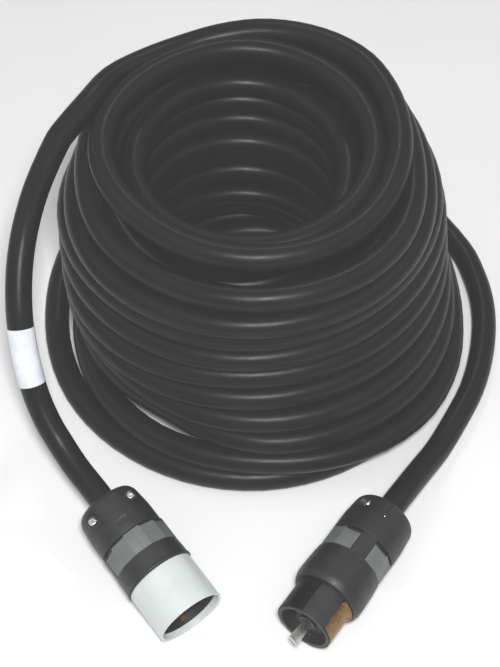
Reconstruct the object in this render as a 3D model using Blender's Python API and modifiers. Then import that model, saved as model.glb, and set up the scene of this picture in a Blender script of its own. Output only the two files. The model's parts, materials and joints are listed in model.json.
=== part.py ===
"""Shore power cord: a coiled 50 A cable between a shrouded locking connector and a locking plug.

The floor is z = 0. The two fittings lie in front of the coil, either side of x = 0, with their
mouths turned inwards and towards -Y. Each fitting is built along its own axis: z runs from the
cable entry to the mouth, and y is the side that its cord grip's screws are driven from.
"""

import bpy
from math import cos, radians, sin
from mathutils import Matrix, Vector

MM = 0.001
GAP = 0.3 * MM  # between pieces that touch

# Cable
CABLE_R = 12.5 * MM
LEAD_STEP = 2.4 * 2 * CABLE_R  # spacing of the points along a lead's tube
LEAD_RESOLUTION = 3
RUN_IN = 16 * MM  # straight stretch of a lead before its fitting

# Coil: a ring of piled turns, wider at its foot than at its crown
COIL_CENTRE = Vector((3 * MM, 332 * MM, 0))
COIL_PROFILE_MM = [
    (82, 271), (145, 271), (146, 252), (160, 238), (188, 212),
    (196, 130), (216, 85), (221, 45), (221, 0), (76, 0),
]
COIL_STEPS = 40

# Where each fitting's cable entry is, which way its mouth faces (degrees from -Y towards +X),
# how far its mouth is tipped down, and how far it is rolled
CONNECTOR_ENTRY = (-133 * MM, 60.5 * MM)
CONNECTOR_HEADING = 37.4
CONNECTOR_TIP = 9
CONNECTOR_ROLL = 9
PLUG_ENTRY = (132.4 * MM, 61.3 * MM)
PLUG_HEADING = -34.1
PLUG_ROLL = 75

# Stations along a fitting, from its cable entry
JAW_END = 25 * MM
HOUSING_END = 46 * MM
GRIP_END = 70 * MM
CONNECTOR_BODY_END = 90 * MM
CONNECTOR_END = 138 * MM
PLUG_BODY_END = 110 * MM
PLUG_END = 145 * MM
BLADE_END = 162 * MM

# Radii of a fitting
REAR_R = 32.5 * MM
BODY_R = 34.8 * MM
PAD_INNER_R = 30.3 * MM
PAD_OUTER_R = 33.2 * MM
SHROUD_R = 33.1 * MM
STRIP_HALF_WIDTH = 7.5 * MM

# Cord grip
GRIP_BORE_R = CABLE_R + GAP
JAW_GAP = 0.6 * MM
SEAT_Y = 18.5 * MM
CLAMP_SCREW_X = 20.8 * MM
CLAMP_SCREW_Z = 15.5 * MM
SCREW_CLEARANCE = GAP

# Wiring: angles from the first power contact, in degrees
CONTACT_ANGLES = (0, 120, 240)
GROUND_ANGLE = 300
ASSEMBLY_ANGLES = (60, 180)
CONDUCTOR_STARTS = (0, 90, 200, 290)
ASSEMBLY_RADIUS = 17 * MM
CONNECTOR_PHASE = 0
PLUG_PHASE = -65.3
CONDUCTOR_R = 3.2 * MM
CORE_RADIUS = 6.8 * MM
JACKET_END = 34 * MM
TERMINAL_Z = (60 * MM, 70 * MM)
TERMINAL_X = (16 * MM, 24 * MM)

ROUND_STEPS = 36
SCREW_SIDES = 16
FAR = 0.2  # longer than any piece that a cutter meets

# Route of the free lead on the connector's side, from the crown of the coil down to the floor
CONNECTOR_LEAD_MM = [
    (-151, 382, 256), (-172, 351, 250.5), (-181, 336, 245), (-196.5, 296, 231), (-206, 258, 216),
    (-211, 226, 194.5), (-211.5, 198, 170), (-209, 180, 148), (-204, 162, 126),
    (-197.5, 146.5, 104.5), (-187, 129, 86.5), (-176, 115, 74), (-161, 95, 64),
]
# Route of the free lead on the plug's side, on the floor
PLUG_LEAD_MM = [
    (228, 406, 12.9), (239.5, 372, 12.9), (245.5, 336, 12.9), (245, 299, 12.9), (238, 258, 12.9),
    (226, 220, 12.9), (208, 184, 12.9), (187, 147, 14), (167, 116, 22),
]
LABEL_SPAN_MM = (235, 291)  # distance of the label's two ends from the coil's end of its lead
LABEL_R = CABLE_R + 1.5 * MM
LABEL_THICKNESS = 0.4 * MM

for old in list(bpy.data.objects):
    bpy.data.objects.remove(old, do_unlink=True)

part = bpy.data.collections.new("shore_power_cord")
cutters = bpy.data.collections.new("cutters")
bpy.context.scene.collection.children.link(part)
bpy.context.scene.collection.children.link(cutters)


def material(name, colour, roughness, metallic=0.0):
    made = bpy.data.materials.new(name)
    made.use_nodes = True
    shader = made.node_tree.nodes["Principled BSDF"]
    shader.inputs["Base Color"].default_value = (*colour, 1.0)
    shader.inputs["Roughness"].default_value = roughness
    shader.inputs["Metallic"].default_value = metallic
    return made


CABLE_BLACK = material("cable_black", (0.022, 0.023, 0.024), 0.45)
HOUSING_BLACK = material("housing_black", (0.015, 0.015, 0.016), 0.55)
GRIP_GREY = material("grip_grey", (0.16, 0.17, 0.17), 0.6)
SHROUD_WHITE = material("shroud_white", (0.72, 0.78, 0.76), 0.35)
LABEL_SILVER = material("label_silver", (0.7, 0.74, 0.78), 0.4)
BRASS = material("brass", (0.5, 0.33, 0.13), 0.32, 1.0)
ZINC = material("zinc", (0.7, 0.7, 0.68), 0.3, 1.0)
INSULATOR = material("insulator", (0.03, 0.03, 0.032), 0.6)
WIRE_COLOURS = [
    material("wire_black", (0.02, 0.02, 0.02), 0.5),
    material("wire_red", (0.35, 0.02, 0.02), 0.5),
    material("wire_white", (0.7, 0.7, 0.68), 0.5),
    material("wire_green", (0.02, 0.2, 0.05), 0.5),
]


def finish(obj, mat, parent, collection=part):
    """Puts an object in its collection, on its parent and in its material."""
    for old_home in list(obj.users_collection):
        old_home.objects.unlink(obj)
    collection.objects.link(obj)
    obj.parent = parent
    if mat:
        obj.data.materials.clear()
        obj.data.materials.append(mat)
    if collection is cutters:
        obj.hide_render = True
        obj.display_type = "WIRE"
    return obj


def turned(name, profile_mm, mat, parent, steps=ROUND_STEPS, collection=part):
    """A turned piece: (radius, z) points in mm, down its outer side. Points on the axis close it there."""
    points = [(radius * MM, 0, z * MM) for radius, z in profile_mm]
    ring = min(point[0] for point in points) > 0
    edges = [(i, i + 1) for i in range(len(points) - 1)]
    if ring:
        edges.append((len(points) - 1, 0))
    mesh = bpy.data.meshes.new(name)
    mesh.from_pydata(points, edges, [])
    obj = bpy.data.objects.new(name, mesh)
    screw = obj.modifiers.new("turn", "SCREW")
    screw.axis = "Z"
    screw.steps = steps
    screw.render_steps = steps
    screw.use_merge_vertices = True
    screw.merge_threshold = 0.00001
    screw.use_smooth_shade = True
    return finish(obj, mat, parent, collection)


def block(name, low_mm, high_mm, mat, parent, collection=part, angle=0.0):
    """A box between two corners in mm, turned by an angle in degrees about the fitting's axis."""
    low, high = Vector(low_mm) * MM, Vector(high_mm) * MM
    bpy.ops.mesh.primitive_cube_add(size=1)
    obj = bpy.context.object
    obj.name = name
    shape = Matrix.Translation((low + high) / 2) @ Matrix.Diagonal((*(high - low), 1))
    obj.data.transform(Matrix.Rotation(radians(angle), 4, "Z") @ shape)
    return finish(obj, mat, parent, collection)


def rod(name, start_mm, end_mm, radius, mat, parent, collection=part, sides=SCREW_SIDES):
    """A cylinder between two points in mm."""
    start, end = Vector(start_mm) * MM, Vector(end_mm) * MM
    along = end - start
    bpy.ops.mesh.primitive_cylinder_add(vertices=sides, radius=radius, depth=along.length)
    obj = bpy.context.object
    obj.name = name
    turn = Vector((0, 0, 1)).rotation_difference(along).to_matrix().to_4x4()
    obj.data.transform(Matrix.Translation((start + end) / 2) @ turn)
    obj.data.shade_smooth()
    obj.data.set_sharp_from_angle(angle=radians(40))
    return finish(obj, mat, parent, collection)


def boolean(obj, operation, *others):
    """Cuts, joins or keeps the overlap with each other object, which becomes a cutter."""
    for other in others:
        finish(other, None, other.parent, cutters)
        modifier = obj.modifiers.new(operation.lower(), "BOOLEAN")
        modifier.operation = operation
        modifier.object = other
    return obj


def polar(radius, angle):
    """(x, y) in mm of a point at a radius in metres and an angle in degrees about the axis."""
    return radius / MM * cos(radians(angle)), radius / MM * sin(radians(angle))


def fitting_frame(name, entry, height, heading, tip, roll):
    """An empty at a fitting's cable entry: its z is the fitting's axis and its y the screws' side."""
    facing = Vector((sin(radians(heading)), -cos(radians(heading)), 0))
    axis = facing * cos(radians(tip)) + Vector((0, 0, -sin(radians(tip))))
    upright = (Vector((0, 0, 1)) - axis * axis.z).normalized()
    up = Matrix.Rotation(radians(roll), 3, axis) @ upright
    turn = Matrix((up.cross(axis), up, axis)).transposed().to_4x4()
    frame = bpy.data.objects.new(name, None)
    frame.matrix_world = Matrix.Translation((*entry, height)) @ turn
    part.objects.link(frame)
    return frame


def smooth_route(points, step):
    """Points a step apart along a Catmull-Rom curve through the given ones."""
    ends = [points[0] * 2 - points[1], *points, points[-1] * 2 - points[-2]]
    dense = []
    for before, start, end, after in zip(ends, ends[1:], ends[2:], ends[3:]):
        for i in range(20):
            t = i / 20
            bend = (2 * before - 5 * start + 4 * end - after) * t * t
            swing = (3 * start - before - 3 * end + after) * t ** 3
            dense.append((2 * start + (end - before) * t + bend + swing) / 2)
    dense.append(points[-1])
    length = sum((b - a).length for a, b in zip(dense, dense[1:]))
    count = max(2, round(length / step))
    return [point_at(dense, length * i / count) for i in range(count + 1)]


def point_at(dense, distance):
    """The point at a distance along a dense line of points."""
    for a, b in zip(dense, dense[1:]):
        piece = (b - a).length
        if distance <= piece:
            return a.lerp(b, distance / piece)
        distance -= piece
    return dense[-1].copy()


def tube(name, points, radius, mat, parent=None, resolution=LEAD_RESOLUTION, caps=True):
    curve = bpy.data.curves.new(name, "CURVE")
    curve.dimensions = "3D"
    curve.bevel_depth = radius
    curve.bevel_resolution = resolution
    curve.use_fill_caps = caps
    curve.twist_mode = "MINIMUM"
    spline = curve.splines.new("POLY")
    spline.points.add(len(points) - 1)
    for knot, point in zip(spline.points, points):
        knot.co = (*point, 1)
    return finish(bpy.data.objects.new(name, curve), mat, parent)


def lead_route(points_mm, frame):
    """A lead's points from the coil to a fitting, with its last stretch on the fitting's axis."""
    run_in = frame.matrix_world @ Vector((0, 0, -RUN_IN))
    entry = frame.matrix_world @ Vector((0, 0, -GAP))
    return [*smooth_route([*(Vector(point) * MM for point in points_mm), run_in], LEAD_STEP), entry]


def cable():
    """The coil as one ring, and the free lead at each end of it, with the label on one of them."""
    coil = turned("cable_coil", COIL_PROFILE_MM, CABLE_BLACK, None, COIL_STEPS)
    coil.location = COIL_CENTRE
    connector_route = lead_route(CONNECTOR_LEAD_MM, connector)
    tube("cable_lead_connector", connector_route, CABLE_R, CABLE_BLACK)
    tube("cable_lead_plug", lead_route(PLUG_LEAD_MM, plug), CABLE_R, CABLE_BLACK)
    start, end = LABEL_SPAN_MM
    travelled = [0.0]
    for a, b in zip(connector_route, connector_route[1:]):
        travelled.append(travelled[-1] + (b - a).length)
    corners = [p for p, gone in zip(connector_route, travelled) if start * MM < gone < end * MM]
    spots = [point_at(connector_route, start * MM), *corners, point_at(connector_route, end * MM)]
    label = tube("label_sleeve", spots, LABEL_R, LABEL_SILVER, caps=False)
    wall = label.modifiers.new("wall", "SOLIDIFY")
    wall.thickness = LABEL_THICKNESS
    wall.offset = 1


def rear_form(name, parent, collection=part, mat=None):
    """The outer form of the rear of a fitting, which the housing and its jaw are both cut from."""
    outline = [(0, 46), (32.5, 46), (32.5, 27), (30.5, 7), (28, 3), (21, 0), (0, 0)]
    return turned(name, outline, mat, parent, collection=collection)


def cord_grip(prefix, frame):
    """Rear housing with the fixed half of the grip, the loose jaw, and the two screws between them."""
    housing = rear_form(prefix + "_housing", frame, mat=HOUSING_BLACK)
    far = FAR / MM
    bore = rod("bore", (0, 0, -5), (0, 0, 40), GRIP_BORE_R, None, frame, sides=ROUND_STEPS)
    cavity = turned("cavity", [(0, 50), (27, 50), (27, 34), (24, 31), (0, 31)], None, frame)
    jaw_room = block("jaw_room", (-far, 0, -5), (far, far, JAW_END / MM + 0.3), None, frame)
    boolean(housing, "DIFFERENCE", bore, cavity, jaw_room)
    jaw = rear_form(prefix + "_clamp_jaw", frame, mat=HOUSING_BLACK)
    keep = block("jaw_keep", (-far, JAW_GAP / MM, -1), (far, far, JAW_END / MM), None, frame)
    boolean(jaw, "INTERSECT", keep)
    boolean(jaw, "DIFFERENCE", bore)
    for tag, side in (("a", 1), ("b", -1)):
        x, z, seat = side * CLAMP_SCREW_X / MM, CLAMP_SCREW_Z / MM, SEAT_Y / MM
        pocket = rod("pocket", (x, seat, z), (x, 40, z), 6 * MM, None, frame)
        hole = rod("hole", (x, -14, z), (x, 20, z), 2 * MM + SCREW_CLEARANCE, None, frame)
        boolean(jaw, "DIFFERENCE", pocket, hole)
        boolean(housing, "DIFFERENCE", hole)
        screw = rod(f"{prefix}_clamp_screw_{tag}", (x, -11, z), (x, seat + 1, z), 2 * MM, ZINC, frame)
        head = rod("head", (x, seat + 0.3, z), (x, seat + 3.2, z), 4.3 * MM, None, frame)
        slot = block("slot", (x - 6, seat + 2, z - 0.6), (x + 6, seat + 5, z + 0.6), None, frame)
        boolean(screw, "UNION", head)
        boolean(screw, "DIFFERENCE", slot)
    return housing


def grip_pads(prefix, frame):
    """The two grey pads, one on each side of the strips that stand between them."""
    low, high = HOUSING_END / MM + 0.7, GRIP_END / MM - 0.8
    inner, outer, edge = PAD_INNER_R / MM, PAD_OUTER_R / MM, STRIP_HALF_WIDTH / MM + 0.3
    for tag, near, far in (("a", edge, 50), ("b", -50, -edge)):
        ring = [(inner, high), (outer, high - 0.8), (outer - 0.6, low + 1), (inner, low)]
        pad = turned(f"{prefix}_grip_pad_{tag}", ring, GRIP_GREY, frame)
        boolean(pad, "INTERSECT", block("pad_keep", (-50, near, low - 5), (50, far, high + 5), None, frame))


def front_body(prefix, frame, outline):
    """The body in front of the housing, with a strip along each side that parts the grip pads."""
    body = turned(prefix + "_body", outline, HOUSING_BLACK, frame)
    low = HOUSING_END / MM + GAP / MM
    strip = STRIP_HALF_WIDTH / MM
    for side in (1, -1):
        near, far = sorted((side * 29, side * 32.7))
        rib = block("rib", (near, -strip, low), (far, strip, GRIP_END / MM + 2), None, frame)
        boolean(body, "UNION", rib)
    return body


def terminal(obj, angle, frame):
    """Adds a contact's terminal block, with the hole for its screw."""
    x0, x1 = (edge / MM for edge in TERMINAL_X)
    z0, z1 = (edge / MM for edge in TERMINAL_Z)
    middle = (z0 + z1) / 2
    cube = block("terminal", (x0, -5, z0), (x1, 5, z1), None, frame, angle=angle)
    hole = rod("terminal_hole", (17, 0, middle), (30, 0, middle), 2 * MM, None, frame)
    hole.data.transform(Matrix.Rotation(radians(angle), 4, "Z"))
    boolean(obj, "UNION", cube)
    boolean(obj, "DIFFERENCE", hole)


def wiring(prefix, frame, phase):
    """Jacket end, the four conductors to the terminals, and each terminal's screw."""
    rod(prefix + "_jacket_end", (0, 0, 0), (0, 0, JACKET_END / MM), CABLE_R, CABLE_BLACK, frame, sides=24)
    angles = [*CONTACT_ANGLES, GROUND_ANGLE]
    middle = sum(TERMINAL_Z) / 2 / MM
    for tag, start, angle, mat in zip("xywg", CONDUCTOR_STARTS, angles, WIRE_COLOURS):
        out = [polar(CORE_RADIUS, phase + start), polar(20 * MM, phase + angle)]
        stations = [(0, 34.3), (0, 38), (0.5, 48), (1, 56), (1, 59.7)]
        points = [Vector((*(Vector(out[0]).lerp(Vector(out[1]), t)), z)) * MM for t, z in stations]
        tube(f"{prefix}_conductor_{tag}", points, CONDUCTOR_R, mat, frame, resolution=2)
        name = f"{prefix}_terminal_screw_{tag}"
        shank = rod(name, (18, 0, middle), (25, 0, middle), 1.7 * MM, ZINC, frame)
        head = rod("screw_head", (24.3, 0, middle), (26.4, 0, middle), 3.4 * MM, None, frame)
        for piece in (shank, head):
            piece.data.transform(Matrix.Rotation(radians(phase + angle), 4, "Z"))
        boolean(shank, "UNION", head)


def assembly_screws(prefix, frame, phase, seat, holders):
    """The long screws that draw the insulator and the body back onto the housing."""
    for tag, offset in zip("ab", ASSEMBLY_ANGLES):
        x, y = polar(ASSEMBLY_RADIUS, phase + offset)
        hole = rod("through", (x, y, 26.6), (x, y, seat + 12), 2 * MM, None, frame)
        for holder in holders:
            boolean(holder, "DIFFERENCE", hole)
        screw = rod(f"{prefix}_assembly_screw_{tag}", (x, y, 27), (x, y, seat + 1), 1.7 * MM, ZINC, frame)
        head = rod("head", (x, y, seat + 0.3), (x, y, seat + 2.5), 3.6 * MM, None, frame)
        boolean(screw, "UNION", head)


def arc_plate(name, frame, angle, half_angle, profile_mm, mat):
    """A turned strip kept over an angle on each side of its middle."""
    plate = turned(name, profile_mm, mat, frame)
    reach, far = 60 * cos(radians(half_angle)), 60 * sin(radians(half_angle))
    wedge = block("wedge", (0, -1, 0), (1, 1, 1), None, frame)
    for vertex in wedge.data.vertices:
        x, y, z = vertex.co / MM
        outer = x > 0.5
        vertex.co = Vector((reach if outer else 0.2, far * (y if outer else 0.01 * y), 200 * z - 20)) * MM
    wedge.data.transform(Matrix.Rotation(radians(angle), 4, "Z"))
    return boolean(plate, "INTERSECT", wedge)


def connector_front(frame):
    """White shroud, insulator with its three wall contacts, and the ground socket at its centre."""
    front = CONNECTOR_BODY_END / MM
    outline = [
        (28.3, 46.3), (28.3, 79.9), (31, 79.9), (31, front), (34, front), (34.8, front - 0.6),
        (34.8, front - 2.5), (34.2, front - 3.4), (33.6, 70), (30, 69.6), (30, 46.3),
    ]
    body = front_body("conn", frame, outline[::-1])
    rim, root = CONNECTOR_END / MM, front + 0.3
    shroud_outline = [
        (31.2, rim), (32.7, rim), (33.1, rim - 0.5), (33.1, root), (30.7, root), (30.7, 80.3),
        (28.7, 80.3), (28.7, 93), (30.9, 93.1), (30.9, rim - 0.3),
    ]
    turned("conn_shroud", shroud_outline, SHROUD_WHITE, frame)
    carrier_outline = [
        (0, 97), (28.9, 97), (28.9, 132), (30.5, 132), (30.5, 93.5),
        (28.3, 93.3), (28, 93.3), (28, 74), (0, 74),
    ]
    carrier = turned("conn_carrier", carrier_outline, INSULATOR, frame)
    for tag, offset in zip("xyw", CONTACT_ANGLES):
        angle = CONNECTOR_PHASE + offset
        plate = [(29.05, 128), (29.75, 128), (29.75, 97.6), (29.05, 97.6)]
        contact = arc_plate("conn_contact_" + tag, frame, angle, 30, plate, BRASS)
        bridge = block("bridge", (25.2, -3.6, 97.9), (29.4, 3.6, 99.6), None, frame, angle=angle)
        tail = block("tail", (22, -4.2, 69), (27.2, 4.2, 72), None, frame, angle=angle)
        stem = block("stem", (25, -3.9, 70), (27, 3.9, 99), None, frame, angle=angle)
        boolean(contact, "UNION", bridge, stem, tail)
        terminal(contact, angle, frame)
        room = [(28.5, 129), (30.05, 129), (30.05, 96.5), (28.5, 96.5)]
        recess = arc_plate("recess", frame, angle, 31, room, None)
        slot = block("stem_slot", (24.6, -4.4, 73), (28.5, 4.4, 98), None, frame, angle=angle)
        boolean(carrier, "DIFFERENCE", recess, slot)
    angle = CONNECTOR_PHASE + GROUND_ANGLE
    ground = block("conn_ground_socket", (-7, -3.2, 76), (7, 3.2, 96), BRASS, frame, angle=angle)
    mouth = block("blade_mouth", (-5.8, -1.6, 78), (5.8, 1.6, 99), None, frame, angle=angle)
    post = block("post", (-3, -2.8, 70), (3, 2.8, 77), None, frame, angle=angle)
    strap = block("strap", (-3.4, -3.1, 69), (22, 3.1, 72), None, frame, angle=angle)
    boolean(ground, "DIFFERENCE", mouth)
    boolean(ground, "UNION", post, strap)
    terminal(ground, angle, frame)
    pocket = block("ground_pocket", (-7.3, -3.5, 73), (7.3, 3.5, 99), None, frame, angle=angle)
    boolean(carrier, "DIFFERENCE", pocket)
    return body, carrier


def plug_front(frame):
    """Black nose with three brass plates let into its side, and the ground blade at its centre."""
    front = PLUG_BODY_END / MM
    outline = [
        (30, 46.3), (30, 69.6), (33, 70), (34, 84), (34.8, 98), (34.4, 104),
        (32.4, front - 1), (31.5, front), (28.3, front), (28.3, 46.3),
    ]
    body = front_body("plug", frame, outline[::-1])
    rim = PLUG_END / MM
    nose_outline = [
        (0, rim - 5), (8.5, rim - 5), (8.5, rim - 9), (23.5, rim - 9), (23.5, rim), (27.2, rim),
        (28, rim - 0.8), (28, 92), (0, 92),
    ]
    nose = turned("plug_nose", nose_outline, INSULATOR, frame)
    carrier = turned("plug_carrier", [(0, 91.6), (28, 91.6), (28, 76), (0, 76)], INSULATOR, frame)
    for tag, offset in zip("xyw", CONTACT_ANGLES):
        angle = PLUG_PHASE + offset
        plate = [
            (26.9, rim - 1.6), (27.9, rim - 1.6), (27.9, 112.8), (30.6, 112.8), (30.6, 110.6), (26.9, 110.6),
        ]
        contact = arc_plate("plug_contact_" + tag, frame, angle, 33, plate, BRASS)
        bridge = block("bridge", (23.6, -3.6, 112), (27.3, 3.6, 114), None, frame, angle=angle)
        stem = block("stem", (23.4, -3.9, 70), (25.4, 3.9, 113), None, frame, angle=angle)
        tail = block("tail", (20, -4.2, 69), (25.6, 4.2, 72), None, frame, angle=angle)
        boolean(contact, "UNION", bridge, stem, tail)
        terminal(contact, angle, frame)
        room = [(26.6, rim + 1), (29, rim + 1), (29, 110.2), (26.6, 110.2)]
        recess = arc_plate("recess", frame, angle, 34, room, None)
        slot = block("stem_slot", (23, -4.4, 70), (25.8, 4.4, 115), None, frame, angle=angle)
        opening = block("stem_opening", (25, -4.1, 111.3), (27.5, 4.1, 114.6), None, frame, angle=angle)
        boolean(nose, "DIFFERENCE", recess, slot, opening)
        boolean(carrier, "DIFFERENCE", slot)
    angle = PLUG_PHASE + GROUND_ANGLE
    tip = BLADE_END / MM
    blade = block("plug_ground_blade", (-5.5, -1.3, 69), (5.5, 1.3, tip), ZINC, frame, angle=angle)
    strap = block("strap", (-3, -1, 68.5), (22, 3, 72), None, frame, angle=angle)
    boolean(blade, "UNION", strap)
    terminal(blade, angle, frame)
    pocket = block("blade_pocket", (-5.9, -1.7, 70), (5.9, 1.7, 160), None, frame, angle=angle)
    for holder in (nose, carrier):
        boolean(holder, "DIFFERENCE", pocket)
    return nose, carrier


tilt = radians(CONNECTOR_TIP)
connector_height = SHROUD_R * cos(tilt) + CONNECTOR_END * sin(tilt)
connector = fitting_frame(
    "connector_frame", CONNECTOR_ENTRY, connector_height, CONNECTOR_HEADING, CONNECTOR_TIP, CONNECTOR_ROLL
)
plug = fitting_frame("plug_frame", PLUG_ENTRY, BODY_R, PLUG_HEADING, 0, PLUG_ROLL)
bpy.context.view_layer.update()

for prefix, frame, front, phase, seat in (
    ("conn", connector, connector_front, CONNECTOR_PHASE, 97),
    ("plug", plug, plug_front, PLUG_PHASE, PLUG_END / MM - 9),
):
    housing = cord_grip(prefix, frame)
    grip_pads(prefix, frame)
    first, second = front(frame)
    wiring(prefix, frame, phase)
    holders = [housing, second] if prefix == "conn" else [housing, first, second]
    assembly_screws(prefix, frame, phase, seat, holders)
cable()
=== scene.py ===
"""Shore power cord: the finished look of its cable, label and two fittings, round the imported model.

Each fitting is built along its own axis: z runs from the cable entry to the mouth, and y is the
side that the cord grip's screws are driven from. A fitting's outlines are in mm. The coil is laid
out in cable diameters round its own centre.
"""

import json
from math import ceil, cos, pi, radians, sin

import bmesh
import bpy
from mathutils import Matrix, Vector


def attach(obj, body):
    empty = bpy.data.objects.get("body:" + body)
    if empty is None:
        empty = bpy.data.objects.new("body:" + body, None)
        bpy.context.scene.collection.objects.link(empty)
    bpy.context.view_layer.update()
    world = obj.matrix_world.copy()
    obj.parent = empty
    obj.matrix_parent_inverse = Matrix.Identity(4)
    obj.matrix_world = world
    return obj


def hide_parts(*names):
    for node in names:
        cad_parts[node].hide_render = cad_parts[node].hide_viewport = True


MM = 0.001

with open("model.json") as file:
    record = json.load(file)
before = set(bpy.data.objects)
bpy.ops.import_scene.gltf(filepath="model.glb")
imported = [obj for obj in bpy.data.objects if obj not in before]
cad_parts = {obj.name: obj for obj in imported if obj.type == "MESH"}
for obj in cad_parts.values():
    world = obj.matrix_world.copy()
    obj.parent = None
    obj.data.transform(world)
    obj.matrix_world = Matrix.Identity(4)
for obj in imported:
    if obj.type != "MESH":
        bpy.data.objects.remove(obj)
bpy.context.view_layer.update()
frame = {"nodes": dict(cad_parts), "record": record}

# Camera
CAMERA_AT = (0.003, -0.80825, 1.4462)
CAMERA_TILT = 37.5  # degrees up from straight down
CAMERA_LENS = 94.45
CAMERA_SENSOR = 36

# Cable
CABLE_D = 0.025
CABLE_R = CABLE_D / 2
RUN_IN = 0.016  # straight stretch before a fitting

# Coil, in cable diameters from its centre. A turn of the outer wall climbs as it goes round: left,
# front left, front, front right, right, back right, back, back left. The last stops at the back right
COIL_CENTRE = Vector((0.003, 0.332, 0))
TURN_POINTS = 24
# The first turn's start on the floor: (quarter turns from the right, radius)
FLOOR_START = [(0.5, 9.02), (1, 8.75), (1.5, 8.42)]
OUTER_WALL = [
    (8.05, 8.45, 8.70, 8.45, 8.05, 7.75, 7.55, 7.30),
    (6.78, 7.74, 8.55, 9.16, 8.12, 7.95, 7.20, 6.90),
    (6.72, 7.12, 8.28, 8.50, 7.75, 7.35, 7.00, 6.85),
    (6.80, 7.20, 8.00, 8.08, 7.55, 7.20, 7.00, 6.85),
    (6.90, 7.45, 7.65, 7.60, 7.40, 7.20, 7.00, 6.90),
    (6.95, 7.45, 7.33, 7.36, 7.30, 7.20, 7.00, 6.92),
    (7.02, 7.20, 7.27, 7.15, 7.20, 7.20, 7.00, 6.90),
    (7.02, 6.97, 7.08, 6.97, 6.98, 6.98, 6.90, 6.75),
    (6.65, 7.02, 7.25, 7.15, 6.62, 6.72, 6.85, 6.82),
    (6.20, 6.45, 6.82, 6.85, 6.12, 6.25),
]
OUTER_RISE = (0, 0.28, 0.50, 0.56, 0.60, 0.68, 0.76, 0.86)
OUTER_PITCH = 0.97
FLOOR_TURN = 0.516  # height of a turn that lies on the floor
FIRST_RISE = 0.60  # how much of the first turn's rise it stays on the floor for
# The way down between the two walls: (radius, height) at the back, the back left and the left, and
# then at each quarter turn
PLUNGE = [
    (6.0, 9.2), (5.62, 8.6), (5.45, 8.15), (5.75, 7.9), (5.9, 7.75), (6.0, 6.6), (5.65, 5.0),
    (5.75, 3.4), (5.72, 1.95), (5.85, 1.0),
    (5.8, FLOOR_TURN), (5.7, FLOOR_TURN), (5.5, FLOOR_TURN), (4.94, FLOOR_TURN),
    (4.82, FLOOR_TURN), (4.72, FLOOR_TURN), (4.42, FLOOR_TURN),
]
# A turn of the inner wall: back, left, front, right
INNER_WALL = [
    (4.00, 3.87, 3.76, 3.56),
    (4.75, 4.50, 4.30, 3.85),
    (4.38, 4.40, 4.20, 3.90),
    (4.85, 4.55, 4.20, 3.90),
    (4.95, 4.55, 4.20, 3.85),
    (4.60, 4.50, 4.20, 3.80),
    (4.95, 4.60, 4.20, 3.80),
    (5.05, 4.60, 4.20, 3.78),
]
INNER_RISE = (0, 0.30, 0.50, 0.75)
INNER_PITCH = 0.98
# The last turns, over both walls: (quarter turns from the back, radius, height)
CROWN = [
    (-4, 4.85, 8.5), (-3, 4.45, 8.78), (-2, 4.3, 9.12), (-1, 4.75, 9.65),
    (0, 5.02, 10.2), (0.35, 5.04, 10.28), (1, 5.57, 10.25), (1.5, 5.45, 10.15), (2, 5.6, 10.1),
    (2.45, 5.72, 10.1), (2.83, 5.6, 10.2), (3.17, 5.7, 10.3), (3.5, 6.0, 10.4), (4, 5.93, 10.28),
    (4.2, 5.97, 10.02), (4.4, 6.12, 9.88), (4.6, 6.36, 10.08),
]
# Where a turn leans out and leaves a see-through gap: (quarter turns along the coil, radius, height)
LOOSE = [(6.62, 8.06, 1.36), (10.76, 7.4, 2.38)]

# Free leads, in metres
CONNECTOR_LEAD = [
    (-0.151, 0.382, 0.256), (-0.172, 0.351, 0.2505), (-0.181, 0.336, 0.245), (-0.1965, 0.296, 0.231),
    (-0.206, 0.258, 0.216), (-0.211, 0.226, 0.1945), (-0.2115, 0.198, 0.170), (-0.209, 0.180, 0.148),
    (-0.204, 0.162, 0.126), (-0.1975, 0.1465, 0.1045), (-0.187, 0.129, 0.0865), (-0.176, 0.115, 0.074),
    (-0.161, 0.095, 0.064),
]
PLUG_LEAD = [
    (0.228, 0.406, 0.0129), (0.2395, 0.372, 0.0129), (0.2455, 0.336, 0.0129), (0.245, 0.299, 0.0129),
    (0.238, 0.258, 0.0129), (0.226, 0.220, 0.0129), (0.208, 0.184, 0.0129), (0.187, 0.147, 0.014),
    (0.167, 0.116, 0.022),
]
ENTRY_GAP = 0.05 * MM  # between the cable's end and its fitting

# Label
LABEL_SPAN = (0.235, 0.291)  # distances of its ends along the connector's lead
LABEL_INSIDE = 0.12 * MM  # from the cable to the sheet's two faces
LABEL_OUTSIDE = 0.34 * MM
LABEL_LAP = 0.25 * MM  # how far its end is lifted over its start
LABEL_COLUMNS = 72  # round the cable
LABEL_OVERLAP = 7  # columns past a whole turn

# Fittings, in mm
CLAMP_SCREW_X, CLAMP_SEAT_Y, CLAMP_SCREW_Z = 20.8, 18.5, 15.5  # where a clamp screw's head sits
CLAMP_HOLE_Y, CLAMP_HOLE_R = -14, 2.3  # a clamp screw's hole: how deep, and its radius
CLAMP_FOOT_Y = -11  # the other end of a clamp screw
CABLE_BORE_R = 12.8
CONNECTOR_RIM = 138
PLUG_RIM = 145
PLUG_PHASE = -65.3  # degrees round the nose, at the middle of the first plate
CONTACT_ANGLES = (0, 120, 240)
ASSEMBLY_ANGLES = (60, 180)
GROUND_ANGLE = 300

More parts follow.
